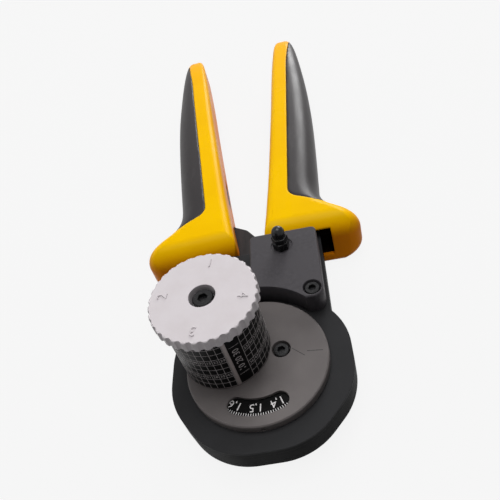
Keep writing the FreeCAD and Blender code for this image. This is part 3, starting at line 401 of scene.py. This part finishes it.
disc = Finish("disc_steel", (0.12, 0.11, 0.107), specular=0.18)
smudge = disc.noise(scale=60, detail=5, rough=0.6)
disc.colour_from(disc.patches(smudge, 0.35, 0.65, DISC_MARKED, DISC_CLEAN))
disc.uneven_shine(smudge, 0.42, 0.55)
disc.soft_edges(0.25 * MM)
disc.bump(disc.noise(scale=3200, detail=2), strength=0.2, distance=0.04 * MM)
dress(disc, "front_disc")

# %% [markdown]
# The block over the neck
# The block is dark grey with a fine speckle, like that of a painted casting. One noise would make
# the speckle, but equally strong everywhere it looks printed. So a second, wider noise thins it out
# in patches.

# %% Block coating
SPECKLE_DARK = (0.038, 0.035, 0.039)
SPECKLE_PALE = (0.062, 0.058, 0.064)
BLOCK_GREY = (0.050, 0.046, 0.051)

block = Finish("block_coating", (0.055, 0.052, 0.057), specular=0.15)
speckle = block.noise(scale=700, detail=4, rough=0.7)
wide = block.noise(scale=90, detail=3)
speckled = block.patches(speckle, 0.35, 0.7, SPECKLE_DARK, SPECKLE_PALE)
block.colour_from(block.patches(wide, 0.3, 0.7, speckled, BLOCK_GREY))
block.uneven_shine(speckle, 0.45, 0.62)
block.soft_edges(0.3 * MM)
block.bump(speckle, strength=0.3, distance=0.05 * MM)
dress(block, "pivot_block")

# %% [markdown]
# Yellow sleeves
# The hard sleeves are glossy yellow plastic. The walls lie in the shade, and their deeper, more
# orange look
# is painted into the colour: it deepens towards the bottom, and soft patches keep it from looking
# new.
# The socket at the front of the right sleeve is dark inside with painted shade, which a box in Object
# coordinates picks out.

# %% Sleeve plastic
YELLOW = (0.88, 0.52, 0.0)
YELLOW_DEEP = (0.84, 0.475, 0.0)
# The wall colour and the socket colour are painted shade: darker orange low down, nearly black inside
# the socket.
YELLOW_WALL_PAINTED_SHADE = (0.84, 0.25, 0.0)
SOCKET_PAINTED_SHADE = (0.014, 0.007, 0.004)
SLEEVE_WALL_TOP = 12.0 * MM
SLEEVE_FACE_FOOT = 20.0 * MM
SLEEVE_EDGE = 0.9 * MM
SOCKET_SHADE_BOX = ((10.0, 54.2, 2.1), (31.4, 65.2, 17.1))


def sleeve_plastic(name, painted_shade_box=None):
    """Yellow plastic with painted shade: deeper low down, and dark inside a box where one is given.
    """
    plastic = Finish(name, (0.92, 0.47, 0.0), roughness=0.28, specular=0.03)
    shade = plastic.noise(scale=45, detail=4)
    top = plastic.patches(shade, 0.35, 0.7, YELLOW, YELLOW_DEEP)
    # Painted shade: the colour deepens towards the bottom of the sleeve.
    colour = plastic.patches(plastic.height(), SLEEVE_WALL_TOP, SLEEVE_FACE_FOOT, YELLOW_WALL_PAINTED_SHADE, top)
    # Painted shade: inside the socket's box the colour is nearly black.
    if painted_shade_box:
        colour = plastic.blend(plastic.inside(*painted_shade_box), colour, SOCKET_PAINTED_SHADE)
    plastic.colour_from(colour)
    plastic.uneven_shine(shade, 0.24, 0.34)
    plastic.soft_edges(SLEEVE_EDGE)
    plastic.bump(plastic.noise(scale=220, detail=2), strength=0.12, distance=0.4 * MM)
    return plastic


dress(sleeve_plastic("yellow_sleeve"), "moving_grip")
dress(sleeve_plastic("yellow_with_painted_socket_shade", SOCKET_SHADE_BOX), "fixed_grip")

# %% [markdown]
# Grey inlays
# The soft inlays are dark grey with a silky shine. Rub marks are what tell a used grip from a toy.
# Painted strokes would need a picture, so a noise that is stretched along the handle gives pale
# scuffs.

# %% Inlay rubber
INLAY_DARK = (0.014, 0.011, 0.012)
INLAY_SCUFFED = (0.044, 0.038, 0.040)
ALONG_HANDLE = (1, 0.35, 1)

inlay = Finish("grey_inlay", (0.04, 0.036, 0.038), roughness=0.4, specular=0.22)
scuff = inlay.noise(scale=160, detail=6, rough=0.7, where=inlay.stretched(ALONG_HANDLE))
inlay.colour_from(inlay.patches(scuff, 0.55, 0.8, INLAY_DARK, INLAY_SCUFFED))
inlay.uneven_shine(scuff, 0.36, 0.5, high=0.75)
inlay.bump(inlay.noise(scale=1800, detail=3), strength=0.2, distance=0.06 * MM)
dress(inlay, "fixed_grip_inlay", "moving_grip_inlay")

# %% [markdown]
# Screws, stud and nuts
# These are black oxide steel: dark, oily and sharper in reflection than the coating. Only the
# high spots of a fine noise are paler, where a spanner would have worn the oxide.

# %% Black oxide
OXIDE_BLACK = (0.005, 0.005, 0.006)
OXIDE_WORN = (0.018, 0.017, 0.018)

oxide = Finish("black_oxide", (0.008, 0.008, 0.009), roughness=0.25, specular=0.25)
worn = oxide.noise(scale=900, detail=4, rough=0.7)
oxide.colour_from(oxide.patches(worn, 0.45, 0.8, OXIDE_BLACK, OXIDE_WORN))
oxide.uneven_shine(worn, 0.2, 0.32)
dress(oxide, "block_screw", "disc_screw", "turret_screw", "lock_nut", "cap_nut", "pivot_stud",
      "plate_screws", "cover_screws")

# %% [markdown]
# Lever and working parts
# The lever plate is dark rolled steel, so its noise is stretched along the plate. The parts inside
# the head are bare tool steel. They are hardly seen, and one plain steel with a slightly uneven
# shine serves them all.

# %% Lever steel and tool steel
LEVER_DARK = (0.012, 0.010, 0.011)
LEVER_PALE = (0.022, 0.019, 0.020)
ALONG_LEVER = (1, 0.2, 1)
STEEL_DARK = (0.38, 0.38, 0.39)
STEEL_PALE = (0.46, 0.46, 0.47)

lever = Finish("lever_steel", (0.04, 0.037, 0.038), roughness=0.42, specular=0.15)
rolled = lever.noise(scale=420, detail=4, rough=0.6, where=lever.stretched(ALONG_LEVER))
lever.colour_from(lever.patches(rolled, 0.35, 0.7, LEVER_DARK, LEVER_PALE))
lever.uneven_shine(rolled, 0.36, 0.5)
dress(lever, "lever_plate")

bare = Finish("tool_steel", (0.42, 0.42, 0.43), roughness=0.35, metallic=0.9)
swirl = bare.noise(scale=1200, detail=3)
bare.colour_from(bare.patches(swirl, 0.3, 0.7, STEEL_DARK, STEEL_PALE))
bare.uneven_shine(swirl, 0.28, 0.42)
dress(bare, "die_guide", "cam_ring", "indenter_1", "indenter_2", "indenter_3", "indenter_4",
      "pivot_sleeve", "pawl", "pawl_pin", "neck_dowels", "turret_post", "turret_washer",
      "turret_spring", "index_ball", "index_spring", "return_spring", "knob_pins")

# %% [markdown]
# Turret and depth ring
# The knob is off-white with faint stains, and the barrel below it is pale metal. The film around the
# barrel and the depth ring are glossy black under their printing. Pure black would hide their
# reflections, so both keep a little roughness that changes over the surface.

# %% Knob
KNOB_CLEAN = (0.64, 0.60, 0.62)
KNOB_STAINED = (0.60, 0.555, 0.57)

white = Finish("knob_white", (0.66, 0.62, 0.64), roughness=0.45, specular=0.12)
stain = white.noise(scale=120, detail=5, rough=0.6)
white.colour_from(white.patches(stain, 0.4, 0.75, KNOB_CLEAN, KNOB_STAINED))
white.uneven_shine(stain, 0.36, 0.48)
white.soft_edges(0.3 * MM)
white.bump(white.noise(scale=900, detail=3), strength=0.15, distance=0.05 * MM)
dress(white, "turret_knob")

# %% Barrel, film and depth ring
PRINT_BLACK = (0.003, 0.003, 0.003)

pale = Finish("barrel_metal", (0.42, 0.37, 0.36), roughness=0.4, metallic=0.2, specular=0.3)
pale.uneven_shine(pale.noise(scale=800, detail=3), 0.34, 0.48)
dress(pale, "turret_barrel")

film = Finish("printed_film", PRINT_BLACK, roughness=0.35, specular=0.06)
film.uneven_shine(film.noise(scale=300, detail=4), 0.26, 0.38)
dress(film, "turret_label")

ring = Finish("scale_black", PRINT_BLACK, roughness=0.4, specular=0.06)
ring.uneven_shine(ring.noise(scale=500, detail=4), 0.34, 0.48)
dress(ring, "depth_ring")

# %% [markdown]
# Soft moulded edges
# The grips come in as exact solids with crisp edges, and a moulding has none. On the inlays a voxel
# remesh lays an even fine net over each piece, and some rounds of smoothing melt the edges. The
# yellow sleeves keep their own mesh, because the wall over the lever's tang is thinner than a voxel
# and a remesh tears it open: their edges are rounded in the shader.

# %% Soften the inlays
WELD_REACH = 0.001 * MM
INLAY_VOXEL = 0.5 * MM
INLAY_ROUNDS = 5


def add_weld(node):
    """A frame node is loose triangles, which other modifiers need joined."""
    weld = node.modifiers.new("weld", "WELD")
    weld.merge_threshold = WELD_REACH


def soften(name, voxel, rounds):
    node = nodes[name]
    add_weld(node)
    net = node.modifiers.new("net", "REMESH")
    net.mode = "VOXEL"
    net.voxel_size = voxel
    net.use_smooth_shade = True
    melt = node.modifiers.new("melt", "SMOOTH")
    melt.factor = 0.5
    melt.iterations = rounds


for name in ("fixed_grip_inlay", "moving_grip_inlay"):
    soften(name, INLAY_VOXEL, INLAY_ROUNDS)
print("inlays softened")

# %% [markdown]
# Broken edges
# A machined block or disc has its edges broken by a file, and that thin line catches the light. A
# bevel needs whole faces to work on, so the triangles of each flat are first dissolved into one.

# %% Break the edges of block and disc
BROKEN_EDGE = 0.25 * MM
FLAT_WITHIN = math.radians(1)
EDGE_OVER = math.radians(40)


def break_edges(name, width):
    node = nodes[name]
    add_weld(node)
    flat = node.modifiers.new("flat", "DECIMATE")
    flat.decimate_type = "DISSOLVE"
    flat.angle_limit = FLAT_WITHIN
    edge = node.modifiers.new("edge", "BEVEL")
    edge.width = width
    edge.segments = 2
    edge.limit_method = "ANGLE"
    edge.angle_limit = EDGE_OVER
    edge.harden_normals = True


for name in ("pivot_block", "front_disc"):
    break_edges(name, BROKEN_EDGE)
print("edges broken")

# %% [markdown]
# Tools for printing
# All print is real geometry, a few hundredths of a millimetre thick, so it stays sharp from close
# by and needs no picture. Figures are text turned into a mesh once per figure and then stamped
# wherever they are needed, and lines are thin bars.

# %% Figures and bars
INK = 0.03 * MM
stamps = {}


def stamp(text, size, thickness):
    """Mesh of the text, centred, standing on z = 0."""
    key = (text, size, thickness)
    if key not in stamps:
        curve = bpy.data.curves.new("figure", "FONT")
        curve.body = text
        curve.size = size
        curve.extrude = thickness / 2
        curve.resolution_u = 2
        curve.align_x = "CENTER"
        curve.align_y = "CENTER"
        holder = bpy.data.objects.new("figure", curve)
        bpy.context.collection.objects.link(holder)
        graph = bpy.context.evaluated_depsgraph_get()
        mesh = bpy.data.meshes.new_from_object(holder.evaluated_get(graph))
        mesh.transform(Matrix.Translation((0, 0, thickness / 2)))
        bpy.data.objects.remove(holder)
        stamps[key] = mesh
    return stamps[key]


def add_text(shape, text, size, thickness, place, turn=0.0):
    """Stamps a text at a place, turned round the upright axis."""
    placed = stamp(text, size, thickness).copy()
    placed.transform(Matrix.Translation(place) @ Matrix.Rotation(turn, 4, "Z"))
    shape.from_mesh(placed)
    bpy.data.meshes.remove(placed)


def add_bar(shape, low, high, cuts=0):
    """Closed bar between two corners, cut along x so that it can be rolled.

    Gives back the eight corners.
    """
    low, high = Vector(low), Vector(high)
    size = high - low
    corners = bmesh.ops.create_cube(shape, size=1.0)["verts"]
    bmesh.ops.scale(shape, verts=corners, vec=size)
    bmesh.ops.translate(shape, verts=corners, vec=(low + high) / 2)
    if cuts:
        edges = {edge for corner in corners for edge in corner.link_edges}
        along = [edge for edge in edges
                 if abs(edge.verts[0].co.x - edge.verts[1].co.x) > size.x / 2]
        bmesh.ops.subdivide_edges(shape, edges=along, cuts=cuts)
    return corners


def on_circle(radius, angle):
    return Vector((math.cos(angle), math.sin(angle))) * radius


print("ink", INK / MM, "mm thick")

# %% [markdown]
# From a bmesh to a finished piece
# Every new piece ends the same way, so one function does it: the faces point outwards, smooth
# shading breaks at sharp edges, and the piece rides on a body of the tool and so moves with it.

# %% Finished pieces and inks
SHARP_OVER = math.radians(35)


def finished(name, shape, finish, body, replaced=()):
    """Object from a bmesh, smooth with sharp edges, riding on its body."""
    bmesh.ops.recalc_face_normals(shape, faces=shape.faces)
    mesh = bpy.data.meshes.new(name)
    shape.to_mesh(mesh)
    shape.free()
    mesh.shade_smooth()
    mesh.set_sharp_from_angle(angle=SHARP_OVER)
    mesh.materials.append(finish.material)
    piece = bpy.data.objects.new(name, mesh)
    bpy.context.collection.objects.link(piece)
    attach(piece, body)
    if replaced:
        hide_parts(*replaced)
    print(name, len(mesh.polygons), "faces")


def joint_place(name):
    """Where a joint of the frame stands, seen from above."""
    joint = next(joint for joint in frame["joints"] if joint["name"] == name)
    return Vector(joint["pos_m"][:2])


ink = Finish("white_ink", (0.42, 0.39, 0.39), roughness=0.5, specular=0.2)
bright_ink = Finish("scale_ink", (0.72, 0.70, 0.70), roughness=0.5, specular=0.2)

# %% [markdown]
# The film's table
# A printed film is wrapped round the turret and tells which setting suits which contact and wire.
# A picture on the film would go soft from close by. The table is laid out flat instead, with x
# along the film and y up the barrel, and then rolled round the barrel. Its long lines are cut into
# short pieces first, because only a vertex can move. The numbers are made up.

# %% Measures of the film
TURRET = joint_place("turret_turn")
film_low, film_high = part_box("turret_label")
FILM_RADIUS = film_high[0] - TURRET.x
FILM_FOOT = film_low[2]
FILM_HEIGHT = film_high[2] - FILM_FOOT
FILM_GAP = 1.3 * MM
FILM_GAP_ANGLE = math.radians(-71.5)
FILM_LENGTH = 2 * math.pi * FILM_RADIUS - FILM_GAP
LINE = 0.15 * MM
HEADER = 4.6 * MM
COLUMNS = 40
COLUMN = (FILM_LENGTH - HEADER) / COLUMNS
FIGURE = 1.65 * MM
ROW_EDGES = (0.0, 2.6, 5.3, 8.0, 10.6, 13.3, 16.0, 18.6, 21.3)
ROWS_PER_FIGURE_ROW = 3
ROLL_CUTS = 143
HEADER_FIGURES = ("10", "20", "30")
HEADER_FIGURE = 3.3 * MM
HEADER_FIRST, HEADER_STEP = 7.6 * MM, 4.1 * MM
HEADER_DASH = 3.4 * MM
HEADER_DASH_HEIGHTS = (4.6 * MM, 19.0 * MM)
HEADER_DASH_CUTS = 3
print("film", round(FILM_LENGTH / MM, 2), "mm long and", round(FILM_HEIGHT / MM, 2), "mm high")

# %% Film table


def made_up(column, row):
    """Two-digit number that differs from cell to cell."""
    return str(10 + (7 * column + 13 * row) % 89)


def add_lines(shape):
    for edge in ROW_EDGES[1:]:
        height = FILM_HEIGHT - edge * MM
        add_bar(shape, (HEADER, height - LINE / 2, 0), (FILM_LENGTH, height + LINE / 2, INK),
                ROLL_CUTS)
    for column in range(COLUMNS + 1):
        x = min(HEADER + COLUMN * column, FILM_LENGTH - LINE)
        add_bar(shape, (x - LINE / 2, 0, 0), (x + LINE / 2, FILM_HEIGHT, INK))


def add_numbers(shape):
    figure_rows = list(zip(ROW_EDGES, ROW_EDGES[1:]))[::ROWS_PER_FIGURE_ROW]
    for row, (top, bottom) in enumerate(figure_rows):
        y = FILM_HEIGHT - (top + bottom) / 2 * MM
        for column in range(COLUMNS):
            x = HEADER + COLUMN * (column + 0.5)
            add_text(shape, made_up(column, row), FIGURE, INK, (x, y, 0))


def add_header(shape):
    for height in HEADER_DASH_HEIGHTS:
        add_bar(shape, ((HEADER - HEADER_DASH) / 2, height - LINE / 2, 0),
                ((HEADER + HEADER_DASH) / 2, height + LINE / 2, INK), HEADER_DASH_CUTS)
    for place, figure in enumerate(HEADER_FIGURES):
        y = HEADER_FIRST + HEADER_STEP * place
        add_text(shape, figure, HEADER_FIGURE, INK, (HEADER / 2, y, 0), turn=QUARTER)


def roll(shape):
    """Bends the flat layout round the film, from the gap's right edge."""
    start = FILM_GAP_ANGLE + FILM_GAP / 2 / FILM_RADIUS
    for vert in shape.verts:
        angle = start + vert.co.x / FILM_RADIUS
        radius = FILM_RADIUS + vert.co.z
        vert.co = (TURRET.x + radius * math.cos(angle), TURRET.y + radius * math.sin(angle),
                   FILM_FOOT + vert.co.y)


def film_table():
    shape = bmesh.new()
    add_lines(shape)
    add_numbers(shape)
    add_header(shape)
    roll(shape)
    finished("film_table", shape, ink, "turret")


film_table()

# %% [markdown]
# Numbers on the knob
# Each of the knob's four positions has a raised numeral on its face. They could be pushed out of
# the face itself, but thick text set a little into the face looks the same and leaves the knob's
# mesh alone.

# %% Knob numbers
KNOB_NUMERALS = "1234"
KNOB_FIRST = math.radians(80)
KNOB_NUMBER_RADIUS = 12.9 * MM
KNOB_NUMBER_SIZE = 4.8 * MM
KNOB_NUMBER_RISE = 0.3 * MM


def knob_numbers():
    shape = bmesh.new()
    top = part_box("turret_knob")[1][2]
    for position, text in enumerate(KNOB_NUMERALS):
        angle = KNOB_FIRST + position * QUARTER
        place = TURRET + on_circle(KNOB_NUMBER_RADIUS, angle)
        add_text(shape, text, KNOB_NUMBER_SIZE, KNOB_NUMBER_RISE + INK, (*place, top - INK),
                 angle - QUARTER)
    finished("knob_numbers", shape, white, "turret")


knob_numbers()

# %% [markdown]
# The depth scale
# The ring under the disc sets how deep the indenters go, and its numbers pass the window. They run
# round the whole ring, so a loop places each one with its ten ticks. Each tick is made on the X
# axis, where its measures are easy to write, and turned to its place.

# %% Depth scale
SCALE_STEP = math.radians(24)
SCALE_MIDDLE = 15
SCALE_MIDDLE_ANGLE = math.radians(-93)
SCALE_FIRST, SCALE_LAST = 8, 22
SCALE_TEXT_RADIUS = 16.7 * MM
SCALE_TEXT_SIZE = 3.9 * MM
TICKS = 10
TICK_INNER = 18.7 * MM
TICK_OUTER = 20.15 * MM
TICK_WIDTH = 0.2 * MM


def add_ticks(shape, angle, foot):
    """Ten ticks, half of them before the number at the angle."""
    for tick in range(TICKS):
        made = add_bar(shape, (TICK_INNER, -TICK_WIDTH / 2, foot),
                       (TICK_OUTER, TICK_WIDTH / 2, foot + INK))
        turn = angle + (tick - TICKS / 2) * SCALE_STEP / TICKS
        bmesh.ops.rotate(shape, verts=made, cent=(0, 0, 0), matrix=Matrix.Rotation(turn, 3, "Z"))


def depth_scale():
    shape = bmesh.new()
    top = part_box("depth_ring")[1][2]
    for value in range(SCALE_FIRST, SCALE_LAST + 1):
        angle = SCALE_MIDDLE_ANGLE + (SCALE_MIDDLE - value) * SCALE_STEP
        place = on_circle(SCALE_TEXT_RADIUS, angle)
        text = f"{value // 10},{value % 10}"
        add_text(shape, text, SCALE_TEXT_SIZE, INK, (*place, top), angle - QUARTER)
        add_ticks(shape, angle, top)
    finished("depth_scale_print", shape, bright_ink, "depth_scale")


depth_scale()

# %% [markdown]
# Nuts on the pivot stud
# A lock nut sits on the block and a domed cap nut on top of it. The frame has both, but its loose
# triangles shade with dark spikes at the seat. They could be welded and bevelled. Here they are made
# anew at about the same size, as closed shapes without the stud's hole, because that needs only two
# operators: a six-sided prism with rounded rims, and a dome spun round the axis.

# %% Measures of the nuts
PIVOT = joint_place("lever_pivot")
NUT_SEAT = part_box("lock_nut")[0][2]
LOCK_NUT_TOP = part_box("lock_nut")[1][2]
CAP_NUT_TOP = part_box("cap_nut")[1][2]
LOCK_NUT_FLATS = 5.5 * MM
LOCK_NUT_TURN = math.radians(20)
CAP_NUT_FLATS = 5.3 * MM
CAP_HEX_TOP = LOCK_NUT_TOP + 2.4 * MM
DOME_RADIUS = 2.45 * MM
DOME_ARC_STEPS = 10
DOME_SPIN_STEPS = 36
POLE_MERGE = 0.0001 * MM
NUT_BEVEL = 0.28 * MM
print("nuts from", round(NUT_SEAT / MM, 2), "to", round(CAP_NUT_TOP / MM, 2), "mm")

# %% Nuts


def add_hexagon(shape, flats, foot, top, turn):
    """Closed six-sided prism with both rims rounded."""
    corner = flats / math.sqrt(3)
    made = bmesh.ops.create_cone(shape, cap_ends=True, segments=6, radius1=corner,
                                 radius2=corner, depth=top - foot)["verts"]
    from_first_corner = Matrix.Rotation(turn - math.pi / 6, 3, "Z")
    bmesh.ops.rotate(shape, verts=made, cent=(0, 0, 0), matrix=from_first_corner)
    bmesh.ops.translate(shape, verts=made, vec=(0, 0, (foot + top) / 2))
    edges = {edge for vert in made for edge in vert.link_edges}
    rims = [edge for edge in edges
            if abs(edge.verts[0].co.z - edge.verts[1].co.z) < (top - foot) / 2]
    bmesh.ops.bevel(shape, geom=rims, offset=NUT_BEVEL, segments=3, affect="EDGES", profile=0.5,
                    material=-1)


def add_dome(shape, foot, top):
    """Shank and round top of the cap nut, spun from its half outline."""
    centre = top - DOME_RADIUS
    outline = [(0, foot - NUT_BEVEL), (DOME_RADIUS, foot - NUT_BEVEL), (DOME_RADIUS, centre)]
    for step in range(1, DOME_ARC_STEPS):
        angle = step * QUARTER / DOME_ARC_STEPS
        outline.append((DOME_RADIUS * math.cos(angle), centre + DOME_RADIUS * math.sin(angle)))
    outline.append((0, top))
    verts = [shape.verts.new((x, 0, z)) for x, z in outline]
    edges = [shape.edges.new(pair) for pair in zip(verts, verts[1:])]
    bmesh.ops.spin(shape, geom=verts + edges, cent=(0, 0, 0), axis=(0, 0, 1), angle=2 * math.pi,
                   steps=DOME_SPIN_STEPS, use_merge=True)
    bmesh.ops.remove_doubles(shape, verts=shape.verts, dist=POLE_MERGE)


def lock_nut():
    shape = bmesh.new()
    add_hexagon(shape, LOCK_NUT_FLATS, NUT_SEAT, LOCK_NUT_TOP, LOCK_NUT_TURN)
    bmesh.ops.translate(shape, verts=shape.verts, vec=(*PIVOT, 0))
    finished("lock_nut_round", shape, oxide, "frame", ("lock_nut",))


def cap_nut():
    shape = bmesh.new()
    add_dome(shape, CAP_HEX_TOP, CAP_NUT_TOP)
    add_hexagon(shape, CAP_NUT_FLATS, LOCK_NUT_TOP, CAP_HEX_TOP, 0)
    bmesh.ops.translate(shape, verts=shape.verts, vec=(*PIVOT, 0))
    finished("cap_nut_round", shape, oxide, "frame", ("cap_nut",))


lock_nut()
cap_nut()

# %% [markdown]
# Marks on the disc
# Two fine lines on the disc point to the window. On the real disc they are engraved. A cut this fine
# would need a boolean in the disc's mesh, and a thin dark bar that sticks out by a hundredth or
# two of a millimetre can't be told from it in the picture.

# %% Disc marks
MARKS = (((12.1, 2.2), (16.1, -1.2)), ((16.9, 0.4), (22.1, -0.1)))
MARK_WIDTH = 0.2 * MM


def disc_marks():
    shape = bmesh.new()
    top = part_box("front_disc")[1][2]
    for start, end in MARKS:
        start, end = Vector(start) * MM, Vector(end) * MM
        run = end - start
        made = add_bar(shape, (0, -MARK_WIDTH / 2, top - INK),
                       (run.length, MARK_WIDTH / 2, top + INK / 2))
        turn = Matrix.Rotation(math.atan2(run.y, run.x), 3, "Z")
        bmesh.ops.rotate(shape, verts=made, cent=(0, 0, 0), matrix=turn)
        bmesh.ops.translate(shape, verts=made, vec=(*start, 0))
    finished("disc_marks", shape, oxide, "frame")


disc_marks()
